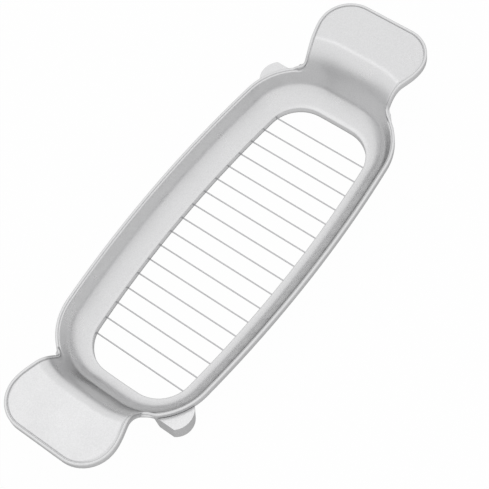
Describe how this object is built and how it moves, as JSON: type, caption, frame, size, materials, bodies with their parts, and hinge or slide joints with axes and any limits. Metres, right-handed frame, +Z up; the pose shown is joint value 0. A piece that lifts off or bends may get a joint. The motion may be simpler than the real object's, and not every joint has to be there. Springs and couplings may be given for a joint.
{
  "type": "wire butter slicer",
  "caption": "Hand butter slicer: dished steel tray with an open floor, taut wires across the opening and a raised finger tab at each end",
  "frame": {"origin": "centre of the bounding box in plan, at the height of the bottom of the turned-down lip that the slicer rests on", "axes": "+X along the tray toward one finger tab, +Y across the tray toward the far rim, +Z up"},
  "size_m": [0.195, 0.0662, 0.0238],
  "materials": {
    "satin_steel": "fine satin, softly rounded edges",
    "post_steel": "smooth satin, welded under the rim",
    "wire_steel": "bright drawn spring wire",
    "screw_steel": "bright turned steel with a plain slot"
  },
  "bodies": {
    "root": {"frame": "satin_steel", "wire_01": "wire_steel", "wire_02": "wire_steel", "wire_03": "wire_steel", "wire_04": "wire_steel", "wire_05": "wire_steel", "wire_06": "wire_steel", "wire_07": "wire_steel", "wire_08": "wire_steel", "wire_09": "wire_steel", "wire_10": "wire_steel", "wire_11": "wire_steel", "wire_12": "wire_steel", "wire_13": "wire_steel", "wire_14": "wire_steel", "wire_15": "wire_steel", "wire_16": "wire_steel", "wire_17": "wire_steel", "wire_bends_near": "wire_steel", "wire_bends_far": "wire_steel", "wire_lead_near": "wire_steel", "wire_lead_far": "wire_steel", "wire_post_near": "post_steel", "wire_post_far": "post_steel", "clamp_screw_near": "screw_steel", "clamp_screw_far": "screw_steel"}
  },
  "joints": []
}
